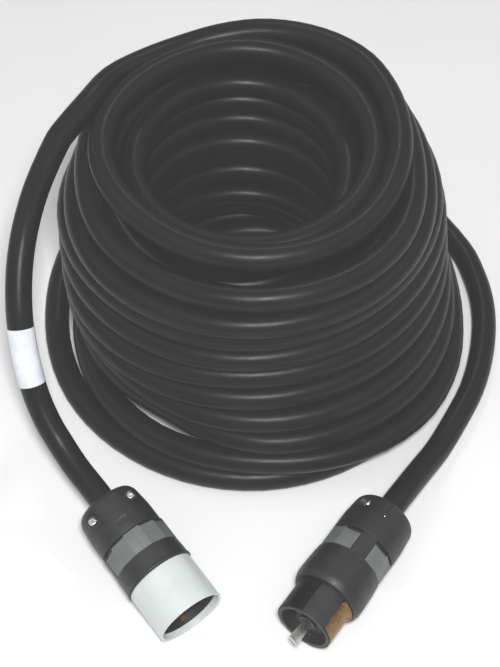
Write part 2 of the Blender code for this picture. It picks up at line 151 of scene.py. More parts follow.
# Picture
LIGHT_TARGET = (0, 0.25, 0.1)
LIGHTS = [  # name, place, width, power
    ("key", (0.05, -0.85, 1.75), 0.25, 36),
    ("back", (0.1, 1.5, 1.7), 0.15, 3.6),
    ("fill_left", (-1.6, 0.4, 1.7), 1.6, 5),
    ("fill_right", (1.6, 0.4, 1.7), 1.6, 5),
]
SKY_STRENGTH = 0.28
SHADOW_LIFT = 0.036  # the darkest tone, in linear light
FLOOR_REACH = 3.0
BANDS_PER_UNIT = 3.2  # stripes that a wave texture draws in one unit at a scale of 1

scene = bpy.context.scene


# ---------------------------------------------------------------- general helpers


def joint(name):
    return next(j for j in frame["record"]["behaviour"]["joints"] if j["name"] == name)


def mount(name):
    return next(m for m in frame["record"]["mounts"] if m["name"] == name)


def fitting_matrix(prefix, mouth):
    """A fitting's own axes, from its mouth's axis, its screws' axis and where a screw sits."""
    along = Vector(mount(mouth)["axis"]).normalized()
    up = Vector(joint(prefix + "_jaw_slide")["axis"])
    up = (up - along * up.dot(along)).normalized()
    turn = Matrix((up.cross(along), up, along)).transposed()
    seat = Vector((CLAMP_SCREW_X, CLAMP_SEAT_Y, CLAMP_SCREW_Z)) * MM
    origin = Vector(joint(prefix + "_screw_a_turn")["pos_m"]) - turn @ seat
    return Matrix.Translation(origin) @ turn.to_4x4()


CONNECTOR = fitting_matrix("conn", "connector_mouth")
PLUG = fitting_matrix("plug", "plug_shoulder")


def link(obj):
    scene.collection.objects.link(obj)
    return obj


def catmull_rom(points, each):
    """A denser line of points, along a Catmull-Rom curve through the given ones."""
    ends = [points[0] * 2 - points[1], *points, points[-1] * 2 - points[-2]]
    dense = []
    for before, start, end, after in zip(ends, ends[1:], ends[2:], ends[3:]):
        for i in range(each):
            t = i / each
            bend = (2 * before - 5 * start + 4 * end - after) * t * t
            swing = (3 * start - before - 3 * end + after) * t**3
            dense.append((2 * start + (end - before) * t + bend + swing) / 2)
    return [*dense, points[-1]]


def hermite(knots, wanted, column):
    """Values of one column of the knots at the wanted first-column values, without corners."""
    slopes = []
    for i in range(len(knots)):
        a, b = knots[max(0, i - 1)], knots[min(len(knots) - 1, i + 1)]
        # Quarter turns apart, the slope of a ring off the axis is pi / 2 of what its neighbours give.
        sharper = pi / 2 if column == 1 and b[0] - a[0] == 2 else 1
        slopes.append((b[column] - a[column]) / (b[0] - a[0]) * sharper)
    values, i = [], 0
    for x in wanted:
        while i < len(knots) - 2 and x > knots[i + 1][0]:
            i += 1
        low, high = knots[i], knots[i + 1]
        gap = high[0] - low[0]
        t = (x - low[0]) / gap
        start = low[column] * (1 + 2 * t) * (1 - t) ** 2 + slopes[i] * gap * t * (1 - t) ** 2
        end = high[column] * t * t * (3 - 2 * t) + slopes[i + 1] * gap * t * t * (t - 1)
        values.append(start + end)
    return values


# ---------------------------------------------------------------- camera, floor and light


def camera():
    data = bpy.data.cameras.new("camera")
    data.sensor_width = CAMERA_SENSOR
    data.lens = CAMERA_LENS
    obj = link(bpy.data.objects.new("camera", data))
    obj.location = CAMERA_AT
    obj.rotation_euler = (radians(CAMERA_TILT), 0, 0)
    scene.camera = obj


def area_light(name, at, size, power):
    data = bpy.data.lights.new(name, "AREA")
    data.size = size
    data.energy = power
    obj = link(bpy.data.objects.new(name, data))
    obj.location = at
    obj.rotation_euler = (Vector(LIGHT_TARGET) - Vector(at)).to_track_quat("-Z", "Y").to_euler()


def studio():
    world = bpy.data.worlds.new("studio")
    world.use_nodes = True
    background = world.node_tree.nodes["Background"]
    background.inputs["Color"].default_value = (1, 1, 1, 1)
    background.inputs["Strength"].default_value = SKY_STRENGTH
    scene.world = world
    tone = scene.view_settings
    tone.view_transform = "Standard"
    tone.use_curve_mapping = True
    tone.curve_mapping.black_level = (-SHADOW_LIFT,) * 3
    tone.curve_mapping.update()
    for light in LIGHTS:
        area_light(*light)
    mesh = bpy.data.meshes.new("floor")
    corners = [(x * FLOOR_REACH, y * FLOOR_REACH, 0) for x, y in ((-1, -1), (1, -1), (1, 1), (-1, 1))]
    mesh.from_pydata(corners, [], [(0, 1, 2, 3)])
    floor = link(bpy.data.objects.new("floor", mesh))
    look = Look("floor_pale")
    look.colour(look.noise(400), (0.86, 0.86, 0.86), (0.9, 0.9, 0.9))
    look.roughness(look.noise(30), 0.75, 0.85)
    look.give(floor)


# ---------------------------------------------------------------- materials


class Look:
    """A Principled material, with helpers that add its procedural textures. Sizes are in mm."""

    def __init__(self, name, metallic=0.0, **constants):
        self.material = bpy.data.materials.new(name)
        self.material.use_nodes = True
        self.tree = self.material.node_tree
        self.shader = self.tree.nodes["Principled BSDF"]
        self.shader.inputs["Metallic"].default_value = metallic
        for socket, value in constants.items():
            self.shader.inputs[socket.replace("_", " ")].default_value = value
        self.normal = None

    def add(self, kind, **settings):
        node = self.tree.nodes.new(kind)
        for key, value in settings.items():
            setattr(node, key, value)
        return node

    def join(self, source, target):
        self.tree.links.new(source, target)

    def place(self, stretch):
        """Object coordinates, pulled out along an axis where the stretch is over 1."""
        where = self.add("ShaderNodeTexCoord").outputs["Object"]
        mapping = self.add("ShaderNodeMapping")
        mapping.inputs["Scale"].default_value = [1 / s for s in stretch]
        self.join(where, mapping.inputs["Vector"])
        return mapping.outputs["Vector"]

    def noise(self, size, detail=3.0, stretch=(1, 1, 1), distortion=0.0):
        node = self.add("ShaderNodeTexNoise")
        node.inputs["Scale"].default_value = 1 / (size * MM)
        node.inputs["Detail"].default_value = detail
        node.inputs["Distortion"].default_value = distortion
        self.join(self.place(stretch), node.inputs["Vector"])
        return node.outputs["Fac"]

    def cells(self, size):
        node = self.add("ShaderNodeTexVoronoi")
        node.inputs["Scale"].default_value = 1 / (size * MM)
        self.join(self.place((1, 1, 1)), node.inputs["Vector"])
        return node.outputs["Distance"]

    def bands(self, size, direction="Z", distortion=1.0):
        node = self.add("ShaderNodeTexWave", wave_type="BANDS", bands_direction=direction)
        node.inputs["Scale"].default_value = 1 / (size * MM) / BANDS_PER_UNIT
        node.inputs["Distortion"].default_value = distortion
        self.join(self.place((1, 1, 1)), node.inputs["Vector"])
        return node.outputs["Fac"]

    def span(self, source, low, high, start=0.0, end=1.0):
        """A number that runs from low to high while the source runs from start to end."""
        node = self.add("ShaderNodeMapRange")
        node.inputs["From Min"].default_value = start
        node.inputs["From Max"].default_value = end
        node.inputs["To Min"].default_value = low
        node.inputs["To Max"].default_value = high
        self.join(source, node.inputs["Value"])
        return node.outputs["Result"]

    def times(self, first, second):
        node = self.add("ShaderNodeMath", operation="MULTIPLY")
        self.join(first, node.inputs[0])
        self.join(second, node.inputs[1])
        return node.outputs["Value"]

    def colour(self, source, low, high, start=0.35, end=0.65):
        """Base colour from low to high while the source runs from start to end."""
        node = self.add("ShaderNodeValToRGB")
        first, last = node.color_ramp.elements
        first.position, last.position = start, end
        first.color, last.color = (*low, 1), (*high, 1)
        self.join(source, node.inputs["Fac"])
        self.join(node.outputs["Color"], self.shader.inputs["Base Color"])
        self.base = node.outputs["Color"]

    def over(self, mask, colour):
        """Lays another colour over the base where the mask is 1."""
        node = self.add("ShaderNodeMix", data_type="RGBA")
        self.join(mask, node.inputs["Factor"])
        self.join(self.base, node.inputs[6])
        node.inputs[7].default_value = (*colour, 1)
        self.base = node.outputs[2]
        self.join(self.base, self.shader.inputs["Base Color"])

    def roughness(self, source, low, high, start=0.3, end=0.7):
        self.join(self.span(source, low, high, start, end), self.shader.inputs["Roughness"])

    def bump(self, source, depth, strength=1.0):
        node = self.add("ShaderNodeBump")
        node.inputs["Distance"].default_value = depth * MM
        node.inputs["Strength"].default_value = strength
        self.join(source, node.inputs["Height"])
        if self.normal:
            self.join(self.normal, node.inputs["Normal"])
        self.normal = node.outputs["Normal"]
        self.join(self.normal, self.shader.inputs["Normal"])

    def give(self, *objects):
        for obj in objects:
            obj.data.materials.clear()
            obj.data.materials.append(self.material)


def jacket_look():
    """Black thermoset rubber: satin, with a fine grain, faint bloom and a few dusty scuffs."""
    look = Look("jacket_rubber", Specular_IOR_Level=0.14)
    look.colour(look.noise(55, 4), (0.0045, 0.0048, 0.005), (0.007, 0.0075, 0.008))
    scuff = look.span(look.noise(1.6, 6, distortion=0.6), 0, 1, 0.6, 0.72)
    patch = look.span(look.noise(38, 2), 0, 0.55, 0.52, 0.7)
    look.over(look.times(scuff, patch), (0.05, 0.05, 0.05))
    look.roughness(look.noise(14, 5), 0.31, 0.39)
    look.bump(look.noise(0.5, 2), 0.02, 0.5)
    look.bump(look.noise(7, 3), 0.12, 0.6)
    look.bump(look.noise(26, 2), 0.5, 0.5)
    return look


def moulded_look(name, low, high, grain=0.7, depth=0.05, rough=(0.45, 0.6), scuffs=(0.07, 0.07, 0.072)):
    """Moulded plastic with a spark-eroded grain, uneven sheen and rubbed spots."""
    look = Look(name)
    look.colour(look.noise(22, 4), low, high)
    mark = look.span(look.noise(0.9, 5, stretch=(1, 1, 4), distortion=0.8), 0, 1, 0.62, 0.72)
    patch = look.span(look.noise(14, 2), 0, 0.6, 0.5, 0.7)
    look.over(look.times(mark, patch), scuffs)
    look.roughness(look.noise(6, 4), *rough)
    look.bump(look.cells(grain), depth, 0.6)
    look.bump(look.noise(9, 2), 0.15, 0.3)
    return look


def metal_look(name, low, high, rough, tarnish, lines="Z", spacing=0.35):
    """Worked metal: drawing or turning lines, toned patches and a few pits."""
    look = Look(name, metallic=1.0)
    look.colour(look.noise(5, 5), low, high, 0.3, 0.7)
    stain = look.span(look.noise(2.2, 6, distortion=1.2), 0, 0.8, 0.5, 0.72)
    look.over(stain, tarnish)
    look.roughness(look.noise(1.8, 5), *rough)
    look.bump(look.bands(spacing, lines, distortion=2.0), 0.012, 0.5)
    look.bump(look.noise(1.2, 4), 0.03, 0.4)
    return look


def looks():
    made = {"jacket": jacket_look()}
    made["housing"] = moulded_look("housing_nylon", (0.005, 0.005, 0.0055), (0.010, 0.010, 0.0105))
    made["body"] = moulded_look(
        "body_rubber", (0.005, 0.005, 0.0055), (0.011, 0.011, 0.0115), 0.9, 0.1, (0.42, 0.58)
    )
    made["grip"] = moulded_look(
        "grip_elastomer", (0.105, 0.118, 0.11), (0.14, 0.155, 0.147), 0.6, 0.04, (0.5, 0.66),
        (0.24, 0.25, 0.24),
    )
    made["insulator"] = moulded_look(
        "insulator_thermoset", (0.007, 0.007, 0.0075), (0.014, 0.014, 0.015), 0.5, 0.03
    )
    shroud = Look("shroud_plastic", Coat_Weight=0.15, Coat_Roughness=0.3)
    shroud.colour(shroud.noise(30, 4), (0.55, 0.60, 0.585), (0.60, 0.64, 0.63))
    grime = shroud.span(shroud.noise(1.4, 6, stretch=(1, 1, 5), distortion=1.0), 0, 1, 0.6, 0.75)
    smear = shroud.span(shroud.noise(18, 2), 0, 0.5, 0.5, 0.7)
    shroud.over(shroud.times(grime, smear), (0.36, 0.38, 0.37))
    shroud.roughness(shroud.noise(5, 4), 0.28, 0.42)
    shroud.bump(shroud.noise(0.7, 2), 0.012, 0.4)
    shroud.bump(shroud.bands(0.8, "Z"), 0.01, 0.3)
    made["shroud"] = shroud
    label = Look("label_vinyl", Coat_Weight=0.25, Coat_Roughness=0.2)
    label.colour(label.noise(12, 4), (0.66, 0.7, 0.78), (0.8, 0.82, 0.86))
    label.over(label.span(label.noise(2.0, 6), 0, 0.4, 0.58, 0.75), (0.5, 0.52, 0.58))
    label.roughness(label.noise(4, 4), 0.25, 0.45)
    label.bump(label.noise(5, 3), 0.12, 0.5)
    label.bump(label.noise(0.4, 2), 0.01, 0.5)
    made["label"] = label
    made["zinc"] = metal_look(
        "zinc_plate", (0.62, 0.62, 0.6), (0.78, 0.78, 0.76), (0.22, 0.38), (0.42, 0.4, 0.36)
    )
    made["brass"] = metal_look(
        "brass_aged", (0.19, 0.10, 0.036), (0.31, 0.185, 0.066), (0.3, 0.5), (0.1, 0.052, 0.022)
    )
    # A near-black copy of the brass: painted shade, for the contact on the nose's left side and the
    # assembly screws in its mouth.
    made["brass_in_painted_shade"] = metal_look(
        "brass_painted_shade", (0.010, 0.009, 0.008), (0.020, 0.017, 0.014), (0.45, 0.6), (0.03, 0.022, 0.015)
    )
    for name, low, high in (
        ("wire_black", (0.012, 0.012, 0.012), (0.022, 0.022, 0.022)),
        ("wire_red", (0.27, 0.012, 0.012), (0.38, 0.02, 0.02)),
        ("wire_white", (0.62, 0.62, 0.6), (0.74, 0.74, 0.72)),
        ("wire_green", (0.01, 0.14, 0.03), (0.02, 0.22, 0.05)),
    ):
        made[name] = moulded_look(name + "_insulation", low, high, 0.4, 0.01, (0.35, 0.5), high)
    return made


# ---------------------------------------------------------------- mesh helpers


def rounded(outline, closed):
    """An outline of (radius, z) or (radius, z, fillet) points, with each fillet drawn as an arc."""
    count = len(outline)
    points = []
    for i, corner in enumerate(outline):
        here = Vector(corner[:2])
        fillet = corner[2] if len(corner) > 2 else 0
        ended = not closed and i in (0, count - 1)
        if not fillet or ended:
            points.append(here)
            continue
        before = Vector(outline[i - 1][:2]) - here
        after = Vector(outline[(i + 1) % count][:2]) - here
        reach = min(fillet, before.length * 0.48, after.length * 0.48)
        start = here + before.normalized() * reach
        end = here + after.normalized() * reach
        for k in range(5):
            t = k / 4
            points.append(start * (1 - t) ** 2 + here * 2 * t * (1 - t) + end * t * t)
    return points


def split_long(points, closed, longest):
    """Adds points so that no side of the outline is longer than this."""
    result = []
    pairs = list(zip(points, points[1:]))
    if closed:
        pairs.append((points[-1], points[0]))
    for a, b in pairs:
        pieces = max(1, ceil((b - a).length / longest))
        result += [a.lerp(b, k / pieces) for k in range(pieces)]
    return result if closed else [*result, points[-1]]


def mesh_object(name, vertices, faces, sharp=35):
    mesh = bpy.data.meshes.new(name)
    mesh.from_pydata(vertices, [], faces)
    tidy = bmesh.new()
    tidy.from_mesh(mesh)
    bmesh.ops.remove_doubles(tidy, verts=tidy.verts, dist=0.000002)
    bmesh.ops.recalc_face_normals(tidy, faces=tidy.faces)
    tidy.to_mesh(mesh)
    tidy.free()
    mesh.shade_smooth()
    mesh.set_sharp_from_angle(angle=radians(sharp))
    return link(bpy.data.objects.new(name, mesh))


def turned(name, outline, steps=96, arc=None, form=None, longest=4.0, sharp=35):
    """A turned piece. An outline that starts and ends on the axis is closed there; any other is a
    ring's section. An arc of (start, end) degrees keeps only that much of a ring. A form gives
    the radius at (radius, z, angle)."""
    solid = outline[0][0] == 0 and outline[-1][0] == 0
    section = split_long(rounded(outline, not solid), not solid, longest)
    if arc:
        angles = [radians(arc[0] + (arc[1] - arc[0]) * i / steps) for i in range(steps + 1)]
    else:
        angles = [2 * pi * i / steps for i in range(steps)]
    vertices = []
    for angle in angles:
        for radius, z in section:
            if form:
                radius = form(radius, z, angle)
            vertices.append((radius * MM * cos(angle), radius * MM * sin(angle), z * MM))
    count = len(section)
    faces = []
    columns = len(angles) if not arc else len(angles) - 1
    for i in range(columns):
        j = (i + 1) % len(angles)
        for k in range(count - 1 if solid else count):
            n = (k + 1) % count
            faces.append((i * count + k, j * count + k, j * count + n, i * count + n))
    if arc:
        faces.append(tuple(range(count)))
        faces.append(tuple((len(angles) - 1) * count + k for k in range(count)))
    return mesh_object(name, vertices, faces, sharp)


def block(name, low, high, angle=0.0, edge=0.0):
    """A box between two corners in mm, turned by an angle in degrees about the fitting's axis."""
    low, high = Vector(low), Vector(high)
    made = bmesh.new()
    bmesh.ops.create_cube(made, size=1)
    bmesh.ops.transform(made, matrix=Matrix.Diagonal((*(high - low), 1)), verts=made.verts)
    if edge:
        bmesh.ops.bevel(made, geom=made.edges[:], offset=edge, segments=3, profile=0.5, affect="EDGES")
    turn = Matrix.Rotation(radians(angle), 4, "Z")
    shape = Matrix.Scale(MM, 4) @ turn @ Matrix.Translation((low + high) / 2)
    bmesh.ops.transform(made, matrix=shape, verts=made.verts)
    mesh = bpy.data.meshes.new(name)
    made.to_mesh(mesh)
    made.free()
    return link(bpy.data.objects.new(name, mesh))


def rod(name, start, end, radius, sides=48, edge=0.0):
    """A cylinder between two points in mm, with rounded rims."""
    start, end = Vector(start), Vector(end)
    length = (end - start).length
    obj = turned(name, [(0, 0), (radius, 0, edge), (radius, length, edge), (0, length)], sides, longest=50)
    turn = Vector((0, 0, 1)).rotation_difference(end - start).to_matrix().to_4x4()
    obj.data.transform(Matrix.Translation(start * MM) @ turn)
    return obj


def bake(obj):
    """Writes the object's modifiers into its mesh."""
    graph = bpy.context.evaluated_depsgraph_get()
    mesh = bpy.data.meshes.new_from_object(obj.evaluated_get(graph))
    obj.modifiers.clear()
    obj.data = mesh


def boolean(obj, operation, *others):
    for other in others:
        modifier = obj.modifiers.new("boolean", "BOOLEAN")
        modifier.operation = operation
        modifier.object = other
        bake(obj)
        bpy.data.objects.remove(other, do_unlink=True)


def soften(obj, width, angle=32):
    """Rounds the edges that are sharper than the angle, and keeps the flats flat."""
    modifier = obj.modifiers.new("edges", "BEVEL")
    modifier.width = width * MM
    modifier.segments = 2
    modifier.limit_method = "ANGLE"
    modifier.angle_limit = radians(angle)
    bake(obj)
    obj.data.shade_smooth()
    obj.data.set_sharp_from_angle(angle=radians(40))


def settle(obj, matrix, look, slot, body, *nodes):
    """Puts a piece in its fitting, and says what it is made of, what it rides on and replaces."""
    obj.matrix_world = matrix
    look.give(obj)
    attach(obj, body)
    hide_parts(*nodes)


# ---------------------------------------------------------------- cable and label


def coil_points():
    """The coil's points, from the end of the plug's lead up to the start of the connector's."""
    quarter = 2
    knots = [(start, radius, FLOOR_TURN) for start, radius in FLOOR_START]
    for level, radii in enumerate(OUTER_WALL):
        for radius, rise in zip(radii, OUTER_RISE):
            height = 1 + OUTER_PITCH * (level - 1) + rise
            if level == 0:
                height = FLOOR_TURN + max(0, rise - FIRST_RISE)
            knots.append((quarter, radius, height))
            quarter += 0.5
    for n, (radius, height) in enumerate(PLUNGE):
        knots.append((quarter, radius, height))
        quarter += 1 if n > 1 else 0.5
    for level, radii in enumerate(INNER_WALL):
        for radius, rise in zip(radii, INNER_RISE):
            knots.append((quarter, radius, FLOOR_TURN + INNER_PITCH * (level + rise)))
            quarter += 1
    knots += [(quarter + 4 + past, radius, height) for past, radius, height in CROWN]
    knots = sorted(knots + LOOSE)
    plug_end = in_coil(PLUG_LEAD[0])
    connector_end = in_coil(CONNECTOR_LEAD[0])
    while connector_end[0] < knots[-1][0]:
        connector_end = (connector_end[0] + 4, *connector_end[1:])
    knots = [plug_end, *knots, connector_end]
    first, last = knots[0][0], knots[-1][0]
    count = int((last - first) * TURN_POINTS / 4)
    wanted = [first + (last - first) * i / count for i in range(count + 1)]
    points = []
    for q, radius, height in zip(wanted, hermite(knots, wanted, 1), hermite(knots, wanted, 2)):
        across = Vector((cos(q * pi / 2), sin(q * pi / 2), 0)) * radius * CABLE_D
        points.append(COIL_CENTRE + across + Vector((0, 0, height * CABLE_D)))
    return points


def in_coil(point):
    """A point as (quarter turns, radius, height) about the coil."""
    away = Vector(point) - COIL_CENTRE
    flat = Vector((away.x, away.y))
    angle = -flat.angle_signed(Vector((1, 0)))
    return (-angle % (2 * pi)) / (pi / 2), flat.length / CABLE_D, away.z / CABLE_D


def tube(name, points, radius, resolution):
    curve = bpy.data.curves.new(name, "CURVE")
    curve.dimensions = "3D"
    curve.bevel_depth = radius
    curve.bevel_resolution = resolution
    curve.use_fill_caps = True
    curve.twist_mode = "MINIMUM"
    spline = curve.splines.new("POLY")
    spline.points.add(len(points) - 1)
    for i, (knot, point) in enumerate(zip(spline.points, points)):
        knot.co = (*point, 1)
        # An extruded jacket is never quite even.
        knot.radius = 1 + 0.006 * sin(i * 0.37) * sin(i * 0.113)
    return link(bpy.data.objects.new(name, curve))


def cable():
    points = [PLUG @ Vector((0, 0, -ENTRY_GAP)), PLUG @ Vector((0, 0, -RUN_IN))]
    points += [Vector(p) for p in reversed(PLUG_LEAD)]
    points += coil_points()[1:-1]
    points += [Vector(p) for p in CONNECTOR_LEAD]
    points += [CONNECTOR @ Vector((0, 0, -RUN_IN)), CONNECTOR @ Vector((0, 0, -ENTRY_GAP))]
    cord = tube("cable_cord", catmull_rom(points, 3), CABLE_R, 10)
    LOOKS["jacket"].give(cord)
    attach(cord, "root")
    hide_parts("cable_coil", "cable_lead_connector", "cable_lead_plug")


def label_sleeve():
    """A wrap label: a thin sheet round the cable whose end laps over its start."""
    lead = catmull_rom([*(Vector(p) for p in CONNECTOR_LEAD), CONNECTOR @ Vector((0, 0, -RUN_IN))], 24)
    spots, gone = [], 0.0
    for a, b in zip(lead, lead[1:]):
        if LABEL_SPAN[0] <= gone <= LABEL_SPAN[1]:
            spots.append((a, (b - a).normalized()))
        gone += (b - a).length
    wide = LABEL_COLUMNS + LABEL_OVERLAP
    inner, outer = [], []
    up = Vector((0, 0, 1))
    for at, ahead in spots:
        side = ahead.cross(up).normalized()
        top = side.cross(ahead)
        inside, outside = [], []
        for i in range(wide):
            angle = 2 * pi * i / LABEL_COLUMNS - 1.9
            lift = LABEL_LAP * min(1, max(0, (i - LABEL_COLUMNS + 5) / 4))
            lift += 0.02 * MM * i / LABEL_COLUMNS
            away = side * cos(angle) + top * sin(angle)
            inside.append(at + away * (CABLE_R + LABEL_INSIDE + lift))
            outside.append(at + away * (CABLE_R + LABEL_OUTSIDE + lift))
        inner.append(inside)
        outer.append(outside)
    vertices, faces = [], []
    rows = [*outer, *inner[::-1]]
    for row in rows:
        vertices += row
    for r in range(len(rows)):
        n = (r + 1) % len(rows)
        for i in range(wide - 1):
            faces.append((r * wide + i, r * wide + i + 1, n * wide + i + 1, n * wide + i))
    half = len(outer)
    for i in (0, wide - 1):
        for r in range(half - 1):
            a, b = r * wide + i, (r + 1) * wide + i
            c, d = (len(rows) - 2 - r) * wide + i, (len(rows) - 1 - r) * wide + i
            faces.append((a, b, c, d))
    label = mesh_object("label_wrap", vertices, faces)
    LOOKS["label"].give(label)
    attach(label, "root")
    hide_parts("label_sleeve")
    return label


# ---------------------------------------------------------------- fittings


REAR_OUTLINE = {
    "conn": [(0, 46), (32.5, 46, 0.8), (32.5, 27, 3), (30.5, 7, 2), (28, 3, 1), (21, 0, 1.5), (0, 0)],
    "plug": [(0, 46), (32.5, 46, 0.8), (32.5, 27, 4), (30.5, 7, 5), (28, 3, 3), (21, 0, 2), (0, 0)],
}


def rear_form(name, prefix):
    return turned(name, REAR_OUTLINE[prefix][::-1], 96, longest=6)


def cord_grip(prefix, matrix):
    """The rear housing with the fixed half of the grip, its loose jaw and the two clamp screws."""
    housing = rear_form(prefix + "_rear_housing", prefix)
    cavity = turned("cavity", [(0, 31), (24, 31, 1), (27, 34, 1), (27, 50), (0, 50)])
    boolean(
        housing, "DIFFERENCE",
        rod("bore", (0, 0, -5), (0, 0, 40), CABLE_BORE_R),
        cavity,
        block("jaw_room", (-200, 0, -5), (200, 200, 25.3)),
    )
    jaw = rear_form(prefix + "_loose_jaw", prefix)
    boolean(jaw, "INTERSECT", block("keep", (-200, 0.6, -1), (200, 200, 25)))
    boolean(jaw, "DIFFERENCE", rod("groove", (0, 0, -5), (0, 0, 40), CABLE_BORE_R))
    for side in (1, -1):
        x, z = side * CLAMP_SCREW_X, CLAMP_SCREW_Z
        ends = (x, CLAMP_HOLE_Y, z), (x, 20, z)
        boolean(
            jaw, "DIFFERENCE",
            rod("pocket", (x, CLAMP_SEAT_Y, z), (x, 40, z), 6, edge=0.6),
            rod("hole", *ends, CLAMP_HOLE_R),
        )
        boolean(housing, "DIFFERENCE", rod("hole", *ends, CLAMP_HOLE_R))
    if prefix == "conn":
        boolean(housing, "DIFFERENCE", block("mark", (-7, 31.2, 30), (7, 40, 38), edge=0.7))
    for side in (1, -1):
        notch = block("notch", (side * 12 - 1.5, 30.9, 40.5), (side * 12 + 1.5, 40, 47), edge=0.4)
        boolean(housing, "DIFFERENCE", notch)
    soften(housing, 0.45)
    soften(jaw, 0.45)
    settle(housing, matrix, LOOKS["housing"], "housing_black", "root", prefix + "_housing")
    settle(jaw, matrix, LOOKS["housing"], "housing_black", prefix + "_jaw", prefix + "_clamp_jaw")
    for tag, side in (("a", 1), ("b", -1)):
        clamp_screw(prefix, matrix, tag, side)


def clamp_screw(prefix, matrix, tag, side):
    """A pan-head machine screw with a combined slot and cross recess, and thread grooves."""
    pitch, depth = 0.7, 0.16

    def thread(radius, z, angle):
        in_thread = 1 < z < 20 and radius > 1.5
        return radius - depth * (1 + cos(2 * pi * z / pitch - angle)) / 2 if in_thread else radius

    outline = [
        (0, 0), (1.2, 0, 0.2), (2, 0.9, 0.2), (2, 29.8), (4.3, 29.8, 0.15), (4.3, 31.1, 0.9),
        (3.2, 32.5, 1.4), (0, 32.7),
    ]
    screw = turned("screw", outline, 48, form=thread, longest=0.35)
    boolean(screw, "DIFFERENCE", block("slot", (-5, -0.6, 31.6), (5, 0.6, 35), edge=0.15))
    boolean(screw, "DIFFERENCE", block("cross", (-0.6, -2.4, 31.4), (0.6, 2.4, 35), edge=0.15))
    # The screw stands along y in its fitting, and its head is turned a little from square
    stand = Matrix.Rotation(radians(-90), 4, "X") @ Matrix.Rotation(radians(20 + 55 * side), 4, "Z")
    foot = Vector((side * CLAMP_SCREW_X, CLAMP_FOOT_Y, CLAMP_SCREW_Z)) * MM
    screw.data.transform(Matrix.Translation(foot) @ stand)
    screw.name = f"{prefix}_pan_screw_{tag}"
    screw.data.set_sharp_from_angle(angle=radians(38))
    body = f"{prefix}_screw_{tag}"
    settle(screw, matrix, LOOKS["zinc"], "zinc_plate", body, f"{prefix}_clamp_screw_{tag}")


PAD_LOW = 46.7
PAD_HIGH = 69.2
PAD_INNER = 30.3
PAD_OUTER = 33.2
PAD_FACETS = 5
PAD_HALF_ANGLE = 75.5
PAD_STEPS = (3.4, 1.5, 0, 1.5, 3.4)  # how far each facet's rear edge is set forward


def grip_pad(prefix, matrix, tag, facing):
    """A grey pad of five flats, whose rear edge steps forward away from its middle."""
    width = 2 * PAD_HALF_ANGLE / PAD_FACETS
    lines = [0.0, 0.03, 0.3, 0.7, 0.97, 1.0]
    columns = []
    for facet, step in enumerate(PAD_STEPS):
        middle = facing - PAD_HALF_ANGLE + width * (facet + 0.5)
        for i in range(9):
            angle = middle + (width - 0.5) * (i / 8 - 0.5)
            flat = PAD_OUTER * cos(radians(width / 2)) / cos(radians(angle - middle))
            columns.append((radians(angle), min(flat, PAD_OUTER), PAD_LOW + step))
    vertices, faces = [], []
    deep = len(lines)
    for angle, outer, low in columns:
        for inner_side in (False, True):
            for t in lines:
                z = low + (PAD_HIGH - low) * t
                chamfer = 0.6 if t in (0.0, 1.0) else 0
                radius = PAD_INNER if inner_side else outer - chamfer
                vertices.append((radius * MM * cos(angle), radius * MM * sin(angle), z * MM))
    for c in range(len(columns) - 1):
        a, b = c * 2 * deep, (c + 1) * 2 * deep
        for k in range(deep - 1):
            faces.append((a + k, b + k, b + k + 1, a + k + 1))
            faces.append((a + deep + k, a + deep + k + 1, b + deep + k + 1, b + deep + k))
        faces.append((a, a + deep, b + deep, b))
        faces.append((a + deep - 1, b + deep - 1, b + 2 * deep - 1, a + 2 * deep - 1))
    for start in (0, (len(columns) - 1) * 2 * deep):
        for k in range(deep - 1):
            faces.append((start + k, start + k + 1, start + deep + k + 1, start + deep + k))
    pad = mesh_object(f"{prefix}_facet_pad_{tag}", vertices, faces, 20)
    low, high = (PAD_OUTER - 1.5, -0.12, PAD_LOW - 2), (PAD_OUTER + 2, 0.12, PAD_HIGH + 2)
    seam = block("seam", low, high, angle=facing)
    boolean(pad, "DIFFERENCE", seam)
    soften(pad, 0.2, 12)
    settle(pad, matrix, LOOKS["grip"], "grip_grey", "root", f"{prefix}_grip_pad_{tag}")


def front_body(prefix, matrix, outline, form):
    body = turned(prefix + "_front_body", outline, 144, form=form, longest=1.2)
    for side in (1, -1):
        near, far = sorted((side * 29, side * 32.7))
        boolean(body, "UNION", block("rib", (near, -7.5, 46.3), (far, 7.5, 72), edge=0.5))
    settle(body, matrix, LOOKS["body"], "housing_black", "root", prefix + "_body")


def connector_front(matrix):
    outline = [
        (28.3, 46.3), (30, 46.3, 0.3), (30, 69.6, 0.3), (33.4, 69.8, 0.8), (34.1, 86.4, 0.8),
        (34.8, 87.6, 0.5), (34.8, 89.2, 0.5), (34.0, 90, 0.5), (31, 90), (31, 79.9), (28.3, 79.9),
    ]
    front_body("conn", matrix, outline, None)
    rim = CONNECTOR_RIM
    shroud_outline = [
        (33.1, 90.3, 0.2), (33.1, rim - 0.1, 0.9), (32.0, rim, 0.6), (30.9, rim - 0.1, 0.7),
        (30.9, 93.1), (28.7, 93), (28.7, 80.3), (30.7, 80.3), (30.7, 90.3),
    ]
    shroud = turned("conn_white_shroud", shroud_outline, 128, longest=8)
    settle(shroud, matrix, LOOKS["shroud"], "shroud_white", "root", "conn_shroud")


